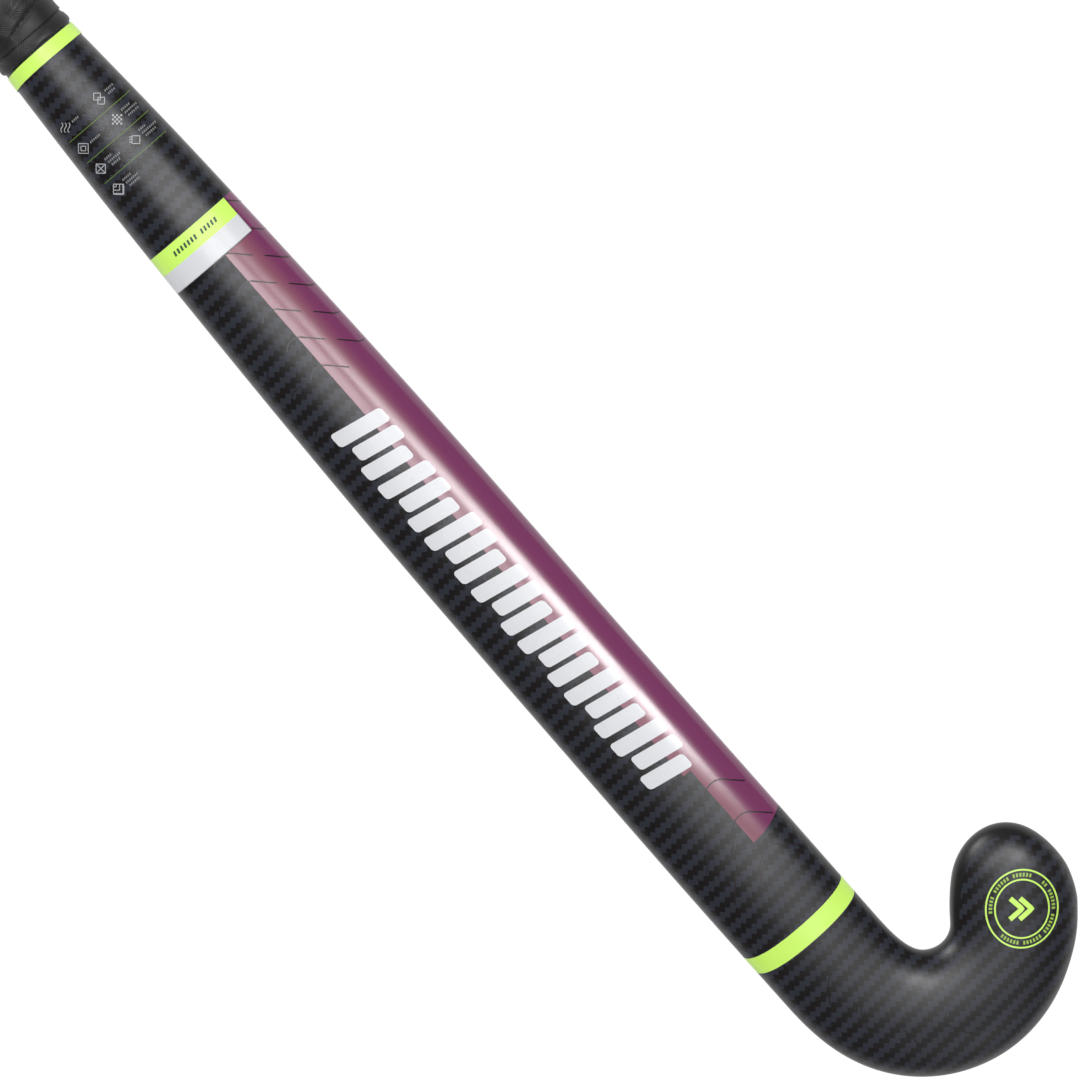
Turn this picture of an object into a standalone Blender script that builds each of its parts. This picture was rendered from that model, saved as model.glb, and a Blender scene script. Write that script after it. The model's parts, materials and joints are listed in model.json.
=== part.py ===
"""Composite field hockey stick, lying face down on the ground.

The handle axis runs along +X from the butt to the head, the toe curls towards
+Y, and the rounded back faces up. Lengths are in metres.
"""
import math

import bmesh
import bpy
import numpy as np
from mathutils import Vector

# ---- Driving dimensions -------------------------------------------------
LENGTH = 0.927               # butt to the lowest point of the head (36.5 in)
BOW = 0.022                  # rise of the face line above a straight edge
BOW_APEX = 0.210             # distance of that rise from the head end
HEAD_STRAIGHT = 0.076        # the face is flat this far up from the head end
BOW_FADE = 0.250             # length over which the bow runs out, above the apex
HANDLE_REST = 0.0042         # height of the bare face line at the butt

HOOK_START = 0.0784          # distance from the head end where the hook begins
HOOK_EASE = 0.0365           # length over which its curvature builds up
HOOK_RADIUS = 0.03495        # radius of the hook's centreline
HOOK_TURN = 140.7            # degrees turned by the hook
TOE_LENGTH = 0.0156          # toe limb beyond the hook
TOE_CURVATURE = -18.0        # slight outward flare of the toe limb, 1/m
TOE_CURVE_EASE = 0.006       # length over which that flare takes over from the hook
TOE_ROUND = 0.0228           # length of the rounded end of the toe
# Extra fullness of the outer edge where the hook meets the toe, by path length
# from the start of the toe's rounding, and the length that smooths it.
EDGE_FULL_AT = (-0.050, -0.034, -0.026, -0.016, -0.009, -0.004, 0.003, 0.010, 0.018)
EDGE_FULL = (0.0, -0.0005, -0.0005, 0.0007, 0.0012, 0.0010, -0.0004, -0.0008, 0.0004)
EDGE_FULL_EASE = 0.012
SHAFT_SET = 0.0055           # slope of the lower shaft towards the toe, radians
SHAFT_SET_FROM = 0.300       # distance from the head end where that slope begins
SHAFT_SET_FADE = 0.080       # length over which it builds up

WALL = 0.0024                # laminate thickness
GAP = 0.0003                 # bond line between neighbouring pieces
FILM = 0.0002                # thickness of a transfer film
RING_POINTS = 24             # points round a section
FILM_LANES = 9               # strips across a transfer film

GRIP_END = 0.5484            # lower end of the grip, from the head end
GRIP_TOP = 0.9222            # upper end of the grip, against the end cap
GRIP_HALF = 0.0174           # half width over the grip
STRIP_WIDTH = 0.030          # pitch of the wound grip strip
COLLAR = 0.0061              # length of the rolled lip at the grip's lower end
BAND_LOW = 0.5422            # lower edge of the finishing band, from the head end
CAP_THICK = 0.0045           # end cap outside the shaft
CAP_SPIGOT = 0.0080          # end cap inside the shaft

# Sections of the bare stick: distance from the head end (measured along the
# centreline, so negative on the toe), half width, crest height, height of the
# widest line, lower corner radius, arch exponent.
STATIONS = (
    (-0.0415, 0.02485, 0.0200, 0.0085, 0.0065, 2.2),
    (0.0185, 0.02570, 0.0205, 0.0085, 0.0065, 2.2),
    (0.0785, 0.02495, 0.0205, 0.0085, 0.0065, 2.25),
    (0.122, 0.02500, 0.0210, 0.0088, 0.0066, 2.35),
    (0.203, 0.02465, 0.0216, 0.0091, 0.0068, 2.42),
    (0.303, 0.02430, 0.0226, 0.0097, 0.0072, 2.4),
    (0.364, 0.02340, 0.0232, 0.0101, 0.0077, 2.35),
    (0.424, 0.02185, 0.0240, 0.0106, 0.0085, 2.3),
    (0.484, 0.01975, 0.0250, 0.0115, 0.0097, 2.25),
    (0.533, 0.01715, 0.0260, 0.0124, 0.0112, 2.2),
    (0.549, 0.01610, 0.0262, 0.0127, 0.0118, 2.15),
    (0.600, 0.01330, 0.0256, 0.0128, 0.0120, 2.1),
    (0.700, 0.01300, 0.0250, 0.0125, 0.0120, 2.1),
    (0.927, 0.01300, 0.0250, 0.0125, 0.0120, 2.1),
)
SHAFT_RINGS = (
    [0.9222, 0.880, 0.800, 0.720, 0.660, 0.620, 0.600]
    + [0.580, 0.566, 0.555, 0.5484, 0.537, 0.524, 0.508, 0.492, 0.476]
    + [0.460 - 0.02375 * k for k in range(17)]
)

# ---- Colours: base colour, roughness, metallic --------------------------
FINISHES = {
    "carbon": ((0.030, 0.030, 0.033), 0.38, 0.0),
    "laminate": ((0.050, 0.050, 0.052), 0.55, 0.0),
    "foam": ((0.78, 0.72, 0.52), 0.90, 0.0),
    "gel": ((0.16, 0.42, 0.20), 0.35, 0.0),
    "fibre": ((0.55, 0.52, 0.40), 0.60, 0.0),
    "tape": ((0.45, 0.45, 0.43), 0.90, 0.0),
    "grip": ((0.030, 0.030, 0.031), 0.75, 0.0),
    "rubber": ((0.022, 0.022, 0.023), 0.70, 0.0),
    "neon": ((0.60, 0.95, 0.16), 0.35, 0.0),
    "silver": ((0.72, 0.73, 0.75), 0.35, 0.0),
    "purple": ((0.22, 0.035, 0.12), 0.30, 0.0),
}


# ---- Shape of the stick -------------------------------------------------
def clear_scene():
    for item in list(bpy.data.objects):
        bpy.data.objects.remove(item, do_unlink=True)


def station(distance):
    """Section values at a distance from the head end, by a cubic that keeps
    each column's rises and falls."""
    table = np.array(STATIONS)
    places = table[:, 0]
    place = min(max(distance, places[0]), places[-1])
    k = min(int(np.searchsorted(places, place, side="right")) - 1, len(places) - 2)
    steps = np.diff(places)[:, None]
    slopes = np.diff(table[:, 1:], axis=0) / steps

    def tangent(i):
        if i == 0 or i == len(places) - 1:
            return slopes[max(i - 1, 0)] * 0.0
        before = slopes[i - 1]
        after = slopes[i]
        same_way = before * after > 0
        total = np.where(same_way, before + after, 1.0)
        return np.where(same_way, 2 * before * after / total, 0.0)

    step = steps[k][0]
    u = (place - places[k]) / step
    low = table[k, 1:]
    high = table[k + 1, 1:]
    return (
        (1 + 2 * u) * (1 - u) ** 2 * low
        + u * (1 - u) ** 2 * step * tangent(k)
        + u * u * (3 - 2 * u) * high
        + u * u * (u - 1) * step * tangent(k + 1)
    )


HEAD_SLOPE = BOW / (HEAD_STRAIGHT + 0.5 * (BOW_APEX - HEAD_STRAIGHT))
HANDLE_SLOPE = (BOW - HANDLE_REST) / (LENGTH - BOW_APEX - 0.5 * BOW_FADE)


def face_height(distance):
    """Height of the playing face above the ground, by distance from the head end."""
    if distance < HEAD_STRAIGHT:
        return HEAD_SLOPE * distance
    if distance < BOW_APEX:
        left = BOW_APEX - distance
        return BOW - 0.5 * HEAD_SLOPE * left * left / (BOW_APEX - HEAD_STRAIGHT)
    past = distance - BOW_APEX
    if past < BOW_FADE:
        return BOW - 0.5 * HANDLE_SLOPE * past * past / BOW_FADE
    return BOW - HANDLE_SLOPE * (past - 0.5 * BOW_FADE)


class Centreline:
    """Plan view of the stick's middle, from the butt round the hook to the toe."""

    STEP = 0.0002

    def __init__(self):
        start = LENGTH - HOOK_START
        arc = math.radians(HOOK_TURN) * HOOK_RADIUS - 0.5 * HOOK_EASE
        self.toe_start = start + HOOK_EASE + arc + TOE_LENGTH
        self.end = self.toe_start + TOE_ROUND
        s = np.arange(0.0, self.end + 0.001, self.STEP)
        build_up = np.clip((s - start) / HOOK_EASE, 0, 1) / HOOK_RADIUS
        fade = np.clip((s - start - HOOK_EASE - arc) / TOE_CURVE_EASE, 0, 1)
        bend = build_up * (1 - fade) + fade * TOE_CURVATURE
        set_start = LENGTH - SHAFT_SET_FROM
        set_bend = np.where(
            (s > set_start) & (s < set_start + SHAFT_SET_FADE), SHAFT_SET / SHAFT_SET_FADE, 0.0
        )
        self.heading = np.cumsum(bend + set_bend) * self.STEP
        self.s = s
        self.x = np.cumsum(np.cos(self.heading)) * self.STEP
        self.y = np.cumsum(np.sin(self.heading)) * self.STEP
        full = np.interp(s - self.toe_start, EDGE_FULL_AT, EDGE_FULL)
        window = np.hanning(round(EDGE_FULL_EASE / self.STEP))
        self.full = np.convolve(full, window / window.sum(), mode="same")

    def at(self, s):
        """Position and heading at path length s."""
        x = float(np.interp(s, self.s, self.x))
        y = float(np.interp(s, self.s, self.y))
        return x, y, float(np.interp(s, self.s, self.heading))

    def nearest(self, x, y):
        """Path length and sideways offset of a plan point."""
        squares = (self.x - x) ** 2 + (self.y - y) ** 2
        k = int(np.argmin(squares))
        across = -math.sin(self.heading[k]) * (x - self.x[k])
        across += math.cos(self.heading[k]) * (y - self.y[k])
        return float(self.s[k]), across


LINE = Centreline()


def fullness(s, across):
    """Scale of an offset from the middle line, for the fuller outer edge."""
    if across > 0:
        return 1.0
    return 1.0 + float(np.interp(s, LINE.s, LINE.full)) / section_at(s)[0]


def section_height(section, radial, top, grow, floor=None):
    """Height of the back or of the face over the face line, at a distance
    radial from the section's middle, for a section grown outwards by grow."""
    half, crest, widest, corner, exponent = section
    half += grow
    part = min(radial / half, 1.0)
    if top:
        arch = (1.0 - part ** exponent) ** (1.0 / exponent)
        return widest + (crest + grow - widest) * arch
    corner = max(corner + grow, 0.0015)
    lowest = -grow if floor is None else floor
    past = min(max(radial - (half - corner), 0.0) / corner, 1.0)
    return widest - (widest - lowest) * math.sqrt(max(1.0 - past * past, 0.0))


def place(s, across, height):
    """World position of a point beside the centreline, height above the face line."""
    x, y, heading = LINE.at(s)
    across *= fullness(s, across)
    x -= math.sin(heading) * across
    y += math.cos(heading) * across
    return Vector((x, y, face_height(LENGTH - x) + height))


def section_at(s):
    return station(LENGTH - s)


def ring(s, grow=0.0, floor=None, section=None, angles=None):
    """Closed section of the stick at path length s, grown outwards by grow.
    Beyond the start of the toe's rounding it shrinks to the tip."""
    section = section_at(s) if section is None else section
    half = section[0] + grow
    reach = min(max((s - LINE.toe_start) / (TOE_ROUND + grow), 0.0), 1.0)
    shrink = math.sqrt(1.0 - reach * reach)
    if angles is None:
        angles = [2 * math.pi * k / RING_POINTS for k in range(RING_POINTS)]
    points = []
    for angle in angles:
        across = half * shrink * math.cos(angle)
        radial = math.hypot(across, half * reach)
        height = section_height(section, radial, math.sin(angle) >= 0, grow, floor)
        points.append(place(s, across, height))
    return points


def tip(grow=0.0):
    """The point where the section has shrunk to nothing, at the toe."""
    s = LINE.toe_start + TOE_ROUND + grow
    return place(s, 0.0, section_at(s)[2])


def shaft_stops(low, high):
    """Path lengths of the rings between two distances from the head end,
    from the butt side to the head side, with both ends included."""
    between = [d for d in SHAFT_RINGS if low + 0.002 < d < high - 0.002]
    return [LENGTH - d for d in [high] + between + [low]]


def hook_stops(grow=0.0):
    """Path lengths of the rings round the hook and over the toe's rounding."""
    start = LENGTH - SHAFT_RINGS[-1]
    count = 14
    stops = [start + (LINE.toe_start - start) * k / count for k in range(1, count + 1)]
    steps = 7
    turn = [math.sin(0.5 * math.pi * k / steps) for k in range(1, steps)]
    return stops + [LINE.toe_start + (TOE_ROUND + grow) * t for t in turn]


# ---- Mesh helpers -------------------------------------------------------
def material(finish):
    found = bpy.data.materials.get(finish)
    if found:
        return found
    colour, roughness, metallic = FINISHES[finish]
    made = bpy.data.materials.new(finish)
    made.use_nodes = True
    shader = made.node_tree.nodes["Principled BSDF"]
    shader.inputs["Base Color"].default_value = (*colour, 1.0)
    shader.inputs["Roughness"].default_value = roughness
    shader.inputs["Metallic"].default_value = metallic
    return made


def finish_piece(name, form, finish, sharp=40.0):
    """Turn a bmesh into a named object with outward normals and smooth shading."""
    bmesh.ops.recalc_face_normals(form, faces=form.faces[:])
    mesh = bpy.data.meshes.new(name)
    form.to_mesh(mesh)
    form.free()
    mesh.shade_smooth()
    mesh.set_sharp_from_angle(angle=math.radians(sharp))
    mesh.materials.append(material(finish))
    piece = bpy.data.objects.new(name, mesh)
    bpy.context.scene.collection.objects.link(piece)
    piece.parent = FRAME
    return piece


def add_rings(form, rings):
    return [[form.verts.new(point) for point in points] for points in rings]


def skin(form, first, second, closed=True):
    """Quads between two rows of vertices."""
    count = len(first)
    for k in range(count if closed else count - 1):
        after = (k + 1) % count
        form.faces.new((first[k], first[after], second[after], second[k]))


def fan(form, row, apex):
    """Triangles from a closed row of vertices to one point."""
    point = form.verts.new(apex)
    for k, vert in enumerate(row):
        form.faces.new((vert, row[(k + 1) % len(row)], point))


def solid(name, rings, finish, apex=None):
    """Closed body through a stack of rings, its far end a cap or a point."""
    form = bmesh.new()
    rows = add_rings(form, rings)
    for first, second in zip(rows, rows[1:]):
        skin(form, first, second)
    form.faces.new(rows[0])
    if apex is None:
        form.faces.new(rows[-1])
    else:
        fan(form, rows[-1], apex)
    return finish_piece(name, form, finish)


def tube(name, outer, inner, finish):
    """Sleeve that is open at both ends."""
    form = bmesh.new()
    rows = add_rings(form, outer + inner[::-1])
    for first, second in zip(rows, rows[1:] + rows[:1]):
        skin(form, first, second)
    return finish_piece(name, form, finish)


def sheet(name, lower, upper, finish):
    """Thin closed body between two matching grids of points."""
    form = bmesh.new()
    below = add_rings(form, lower)
    above = add_rings(form, upper)
    for rows in (below, above):
        for first, second in zip(rows, rows[1:]):
            skin(form, first, second, closed=False)
    rim_below = grid_rim(below)
    rim_above = grid_rim(above)
    skin(form, rim_below, rim_above)
    return finish_piece(name, form, finish)


def grid_rim(rows):
    """Vertices round the edge of a grid, in order."""
    rim = list(rows[0])
    rim += [row[-1] for row in rows[1:]]
    rim += list(reversed(rows[-1][:-1]))
    rim += [row[0] for row in reversed(rows[1:-1])]
    return rim


# ---- Structure ----------------------------------------------------------
def make_carbon_shell():
    """Moulded outer laminate: one hollow tube from the butt to the toe."""
    form = bmesh.new()
    shaft = shaft_stops(SHAFT_RINGS[-1], LENGTH - CAP_THICK - GAP)
    outer = add_rings(form, [ring(s) for s in shaft + hook_stops()])
    inner = add_rings(form, [ring(s, -WALL) for s in shaft + hook_stops(-WALL)])
    for rows, apex in ((outer, tip()), (inner, tip(-WALL))):
        for first, second in zip(rows, rows[1:]):
            skin(form, first, second)
        fan(form, rows[-1], apex)
    skin(form, outer[0], inner[0])
    return finish_piece("carbon_shell", form, "carbon")


def half_ring(s, grow, side, web):
    """Half of the bore's section on one side of the web, as a closed loop."""
    quarter = RING_POINTS // 4
    step = 2 * math.pi / RING_POINTS
    angles = [step * k for k in range(-quarter, quarter + 1)]
    section = section_at(s)
    half = section[0] + grow
    points = []
    for angle in angles:
        across = max(half * math.cos(angle), web)
        height = section_height(section, across, angle >= 0, grow)
        if angle < 0:
            height = min(height, section[2])
        points.append(place(s, side * across, height))
    return points


TUBE_WALL = 0.0010
WEB_HALF = 0.0007
TUBE_LOW = 0.098
TUBE_HIGH = LENGTH - 0.0560


def make_inner_tube(name, side):
    """One of the two moulding tubes that run side by side down the shaft."""
    stops = shaft_stops(TUBE_LOW, TUBE_HIGH)
    outer = [half_ring(s, -WALL - GAP, side, WEB_HALF + GAP) for s in stops]
    inner = [
        half_ring(s, -WALL - GAP - TUBE_WALL, side, WEB_HALF + GAP + TUBE_WALL) for s in stops
    ]
    return tube(name, outer, inner, "laminate")


def make_bridge_strip():
    """Carbon web between the two tubes, from the face to the back."""
    rings = []
    for s in shaft_stops(TUBE_LOW, TUBE_HIGH):
        crest = section_at(s)[1] - WALL - GAP - 0.0002
        low = WALL + GAP
        corners = ((-1, low), (1, low), (1, crest), (-1, crest))
        rings.append([place(s, WEB_HALF * side, height) for side, height in corners])
    return solid("bridge_strip", rings, "laminate")


def make_tube_plug(name, side):
    """Foam stop that keeps the core out of a tube's lower end."""
    stops = [LENGTH - TUBE_LOW - 0.014, LENGTH - TUBE_LOW]
    grow = -WALL - 2 * GAP - TUBE_WALL
    web = WEB_HALF + 2 * GAP + TUBE_WALL
    return solid(name, [half_ring(s, grow, side, web) for s in stops], "foam")


def make_damping_fibre(name, side):
    """Flat fibre strip bonded under the back wall of one tube."""
    middle = 0.0058
    half = 0.0020
    thick = 0.0007
    rings = []
    for s in shaft_stops(0.330, 0.520):
        section = section_at(s)
        top = section_height(section, middle + half, True, -WALL - GAP - TUBE_WALL)
        top -= GAP + 0.0002
        corners = ((-half, -thick), (half, -thick), (half, 0.0), (-half, 0.0))
        rings.append([place(s, side * (middle + dx), top + dz) for dx, dz in corners])
    return solid(name, rings, "fibre")


PAD_THICK = 0.0016
CORE_START = 0.0960


def make_head_core():
    """Rigid foam that fills the hook above the gel pad."""
    grow = -WALL - GAP
    floor = WALL + 2 * GAP + PAD_THICK
    stops = [LENGTH - CORE_START] + [LENGTH - 0.080] + hook_stops(grow)
    rings = [ring(s, grow, floor) for s in stops]
    return solid("head_core", rings, "foam", apex=tip(grow))


def make_gel_pad():
    """Thin damping pad against the inside of the playing face."""
    half = 0.0160
    lanes = 4
    stops = [LENGTH - CORE_START + 0.0002] + [LENGTH - 0.080]
    stops += [s for s in hook_stops() if s < LINE.toe_start + 0.4 * TOE_ROUND]
    across = [half * (2 * k / lanes - 1) for k in range(lanes + 1)]
    lower = [[place(s, a, WALL + GAP) for a in across] for s in stops]
    upper = [[place(s, a, WALL + GAP + PAD_THICK) for a in across] for s in stops]
    return sheet("head_gel_pad", lower, upper, "gel")


def make_butt_plug():
    """Foam block that closes the bore above the tubes."""
    stops = [0.0560 - GAP - 0.0420, 0.0560 - GAP]
    rings = [ring(s, -WALL - GAP) for s in stops]
    return solid("butt_plug", rings, "foam")


# ---- Handle -------------------------------------------------------------
FOAM_LOW = 0.600
FOAM_BUILD = 0.0014
UNDERLAY_LOW = GRIP_END + COLLAR + GAP
UNDERLAY = 0.0005


def foam_grow(distance):
    """How far the handle build-up stands out from the bare shell."""
    share = min(max((distance - 0.560) / (FOAM_LOW - 0.560), 0.0), 1.0)
    return share * (FOAM_BUILD + GAP)


def grip_grow(distance):
    """How far the grip's outside stands out from the bare shell."""
    return GRIP_HALF - station(distance)[0]


def make_handle_foam():
    """Foam sleeve that builds the handle up to an oval."""
    stops = shaft_stops(FOAM_LOW, GRIP_TOP)
    outer = [ring(s, GAP + FOAM_BUILD) for s in stops]
    inner = [ring(s, GAP) for s in stops]
    return tube("handle_foam", outer, inner, "foam")


def make_grip_underlay():
    """Thin cushion tape under the grip."""
    stops = shaft_stops(UNDERLAY_LOW, GRIP_TOP)
    base = [foam_grow(LENGTH - s) + GAP for s in stops]
    outer = [ring(s, grow + UNDERLAY) for s, grow in zip(stops, base)]
    inner = [ring(s, grow) for s, grow in zip(stops, base)]
    return tube("grip_underlay", outer, inner, "tape")


def make_grip_wrap():
    """Grip strip wound up the handle, each turn beside the one before."""
    low = LENGTH - GRIP_TOP
    high = LENGTH - UNDERLAY_LOW
    per_turn = RING_POINTS
    first_edge = low - STRIP_WIDTH
    turns = (high - first_edge) / STRIP_WIDTH
    rings = []
    for k in range(int(turns * per_turn) + 1):
        angle = 2 * math.pi * k / per_turn
        start = first_edge + STRIP_WIDTH * k / per_turn
        near = max(start + GAP, low)
        far = min(start + STRIP_WIDTH, high)
        if far - near < 0.002:
            continue
        corners = []
        for s, outside in ((near, False), (far, False), (far, True), (near, True)):
            distance = LENGTH - s
            grow = foam_grow(distance) + 2 * GAP + UNDERLAY
            if outside:
                grow = grip_grow(distance)
            corners.append(ring(s, grow, angles=[angle])[0])
        rings.append(corners)
    return solid("grip_wrap", rings, "grip")


def make_grip_collar():
    """Rolled lip that finishes the lower end of the grip."""
    stops = [LENGTH - GRIP_END - COLLAR * share for share in (1.0, 0.74, 0.3, 0.0)]
    outside = [grip_grow(LENGTH - s) for s in stops]
    outside[-1] -= 0.0004
    outer = [ring(s, grow) for s, grow in zip(stops, outside)]
    inner = [ring(s, GAP) for s in stops]
    return tube("grip_collar", outer, inner, "grip")


def make_finishing_band():
    """Neon tape ring that covers the end of the grip."""
    high = GRIP_END - GAP
    stops = [LENGTH - d for d in (high, 0.5 * (high + BAND_LOW), BAND_LOW)]
    outer = [ring(s, GAP + 0.0003) for s in stops]
    inner = [ring(s, GAP) for s in stops]
    return tube("finishing_band", outer, inner, "neon")


def make_end_cap():
    """Rubber cap: a flat-ended button with a spigot in the shaft's bore."""
    section = section_at(0.0)
    grow = grip_grow(LENGTH)
    steps = ((0.0, -0.0026), (0.0004, -0.0013), (0.0013, -0.0004), (0.0026, 0.0))
    rings = [ring(s, grow + inset, section=section) for s, inset in steps]
    rings.append(ring(CAP_THICK, grow, section=section))
    rings.append(ring(CAP_THICK, -WALL - GAP, section=section))
    rings.append(ring(CAP_THICK + CAP_SPIGOT, -WALL - GAP, section=section))
    return solid("end_cap", rings, "rubber")


# ---- Transfer films on the laminate -------------------------------------
def film(name, finish, low, high, start, stop):
    """Film on the back between two distances from the head end, reaching across
    from start to stop, both measured from the middle line towards the toe side."""
    lower = []
    upper = []
    for s in shaft_stops(low, high):
        first = film_angle(start, s)
        last = film_angle(stop, s)
        angles = [first + (last - first) * k / FILM_LANES for k in range(FILM_LANES + 1)]
        lower.append(ring(s, GAP, angles=angles))
        upper.append(ring(s, GAP + FILM, angles=angles))
    return sheet(name, lower, upper, finish)


def film_angle(edge, s):
    """Section angle of a film edge given in metres from the middle line."""
    half = section_at(s)[0]
    return math.acos(min(max(edge / half, -1.0), 1.0))


def make_ring_film(name, low, high):
    """Film that goes all the way round the shaft."""
    stops = [LENGTH - high, LENGTH - low]
    outer = [ring(s, GAP + FILM) for s in stops]
    inner = [ring(s, GAP) for s in stops]
    return tube(name, outer, inner, "neon")


def make_head_badge():
    """Round film on the back of the toe."""
    centre = Vector((LENGTH - 0.0421, 0.0712))
    radius = 0.0158
    spokes = 32
    form = bmesh.new()
    layers = []
    for grow in (GAP + 0.0001, GAP + 0.0001 + FILM):
        rows = []
        for share in (0.35, 0.7, 1.0):
            row = []
            for k in range(spokes):
                turn = 2 * math.pi * k / spokes
                x = centre.x + radius * share * math.cos(turn)
                y = centre.y + radius * share * math.sin(turn)
                row.append(form.verts.new(on_back(x, y, grow)))
            rows.append(row)
        for first, second in zip(rows, rows[1:]):
            skin(form, first, second)
        fan(form, rows[0], on_back(centre.x, centre.y, grow))
        layers.append(rows[-1])
    skin(form, layers[0], layers[1])
    return finish_piece("head_badge_film", form, "neon")


def on_back(x, y, grow):
    """Point of the rounded back over a plan position."""
    s, across = LINE.nearest(x, y)
    across /= fullness(s, across)
    section = section_at(s)
    reach = max(s - LINE.toe_start, 0.0) / TOE_ROUND
    radial = math.hypot(across, section[0] * reach)
    height = section_height(section, radial, True, grow)
    return Vector((x, y, face_height(LENGTH - x) + height))


def settle_frame():
    """Put the origin under the middle of the stick, on the ground."""
    bpy.context.view_layer.update()
    corners = []
    for piece in FRAME.children:
        corners += [vert.co for vert in piece.data.vertices]
    low = [min(c[k] for c in corners) for k in range(3)]
    high = [max(c[k] for c in corners) for k in range(3)]
    FRAME.location = (-(low[0] + high[0]) / 2, -(low[1] + high[1]) / 2, -low[2])
    bpy.context.view_layer.update()


clear_scene()
FRAME = bpy.data.objects.new("stick_frame", None)
bpy.context.scene.collection.objects.link(FRAME)

make_carbon_shell()
make_bridge_strip()
for SIDE_NAME, SIDE in (("heel_side", -1), ("toe_side", 1)):
    make_inner_tube("inner_tube_" + SIDE_NAME, SIDE)
    make_tube_plug("tube_plug_" + SIDE_NAME, SIDE)
    make_damping_fibre("damping_fibre_" + SIDE_NAME, SIDE)
make_head_core()
make_gel_pad()
make_butt_plug()

make_handle_foam()
make_grip_underlay()
make_grip_wrap()
make_grip_collar()
make_finishing_band()
make_end_cap()

make_ring_film("lower_band_film", 0.0875, 0.0955)
film("title_film_neon", "neon", 0.4498, 0.4580, 0.0168, -1.0)
film("title_film_silver", "silver", 0.4414, 0.4495, 0.0168, -1.0)
film("side_panel_film", "purple", 0.1350, 0.4408, 1.0, 0.0055)
film("main_mark_film", "silver", 0.1710, 0.3630, 0.0050, -0.0120)
film("feature_note_film", "silver", 0.4830, 0.5210, 0.0150, -0.0150)
make_head_badge()
settle_frame()
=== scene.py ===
"""Visual model of a composite field hockey stick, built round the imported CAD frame.

Places on the stick are given as (distance from the head end, offset across),
the offset growing from the heel side to the toe side. Lengths are in metres.
"""

import json
import math

import bmesh
import bpy
import numpy as np
from mathutils import Matrix, Vector


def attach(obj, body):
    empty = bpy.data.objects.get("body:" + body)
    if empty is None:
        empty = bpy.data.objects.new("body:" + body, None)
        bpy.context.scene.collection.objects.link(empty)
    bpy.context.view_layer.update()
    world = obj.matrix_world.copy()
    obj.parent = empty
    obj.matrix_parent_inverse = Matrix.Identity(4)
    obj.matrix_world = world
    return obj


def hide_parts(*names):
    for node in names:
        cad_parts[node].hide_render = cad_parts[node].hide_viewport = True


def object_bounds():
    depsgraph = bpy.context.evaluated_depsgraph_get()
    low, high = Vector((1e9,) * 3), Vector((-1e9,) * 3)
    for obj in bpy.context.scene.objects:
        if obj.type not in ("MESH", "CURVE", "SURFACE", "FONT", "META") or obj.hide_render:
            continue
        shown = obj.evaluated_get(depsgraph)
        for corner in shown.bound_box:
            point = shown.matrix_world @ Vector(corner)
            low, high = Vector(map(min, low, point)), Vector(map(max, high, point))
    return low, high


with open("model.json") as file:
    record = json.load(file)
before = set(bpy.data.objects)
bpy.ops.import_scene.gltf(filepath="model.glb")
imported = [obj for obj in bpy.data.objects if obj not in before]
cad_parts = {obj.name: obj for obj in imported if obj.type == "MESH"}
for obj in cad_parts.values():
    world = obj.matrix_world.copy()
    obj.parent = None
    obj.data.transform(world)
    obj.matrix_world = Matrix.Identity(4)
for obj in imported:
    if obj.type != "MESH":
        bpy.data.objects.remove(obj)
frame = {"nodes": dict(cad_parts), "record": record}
CAD_LOW, CAD_HIGH = [list(corner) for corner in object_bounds()]
SCENE = bpy.context.scene

# ---- Shape of the bare stick, as in the CAD -----------------------------
LENGTH = 0.927
BOW = 0.022
BOW_APEX = 0.210
HEAD_STRAIGHT = 0.076
BOW_FADE = 0.250
HANDLE_REST = 0.0042
HOOK_START = 0.0784
HOOK_EASE = 0.0365
HOOK_RADIUS = 0.03495
HOOK_TURN = 140.7
TOE_LENGTH = 0.0156
TOE_CURVATURE = -18.0
TOE_CURVE_EASE = 0.006
TOE_ROUND = 0.0228
EDGE_FULL_AT = (-0.050, -0.034, -0.026, -0.016, -0.009, -0.004, 0.003, 0.010, 0.018)
EDGE_FULL = (0.0, -0.0005, -0.0005, 0.0007, 0.0012, 0.0010, -0.0004, -0.0008, 0.0004)
EDGE_FULL_EASE = 0.012
SHAFT_SET = 0.0055
SHAFT_SET_FROM = 0.300
SHAFT_SET_FADE = 0.080
GRIP_END = 0.5484
GRIP_TOP = 0.9222
GRIP_HALF = 0.0174
COLLAR = 0.0061
CAP_THICK = 0.0045
LEAST_CORNER = 0.0015

# Distance from the head end, half width, crest height, height of the widest
# line, lower corner radius, arch exponent.
STATIONS = np.array((
    (-0.0415, 0.02485, 0.0200, 0.0085, 0.0065, 2.2),
    (0.0185, 0.02570, 0.0205, 0.0085, 0.0065, 2.2),
    (0.0785, 0.02495, 0.0205, 0.0085, 0.0065, 2.25),
    (0.122, 0.02500, 0.0210, 0.0088, 0.0066, 2.35),
    (0.203, 0.02465, 0.0216, 0.0091, 0.0068, 2.42),
    (0.303, 0.02430, 0.0226, 0.0097, 0.0072, 2.4),
    (0.364, 0.02340, 0.0232, 0.0101, 0.0077, 2.35),
    (0.424, 0.02185, 0.0240, 0.0106, 0.0085, 2.3),
    (0.484, 0.01975, 0.0250, 0.0115, 0.0097, 2.25),
    (0.533, 0.01715, 0.0260, 0.0124, 0.0112, 2.2),
    (0.549, 0.01610, 0.0262, 0.0127, 0.0118, 2.15),
    (0.600, 0.01330, 0.0256, 0.0128, 0.0120, 2.1),
    (0.700, 0.01300, 0.0250, 0.0125, 0.0120, 2.1),
    (0.927, 0.01300, 0.0250, 0.0125, 0.0120, 2.1),
))
HEAD_SLOPE = BOW / (HEAD_STRAIGHT + 0.5 * (BOW_APEX - HEAD_STRAIGHT))
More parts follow.
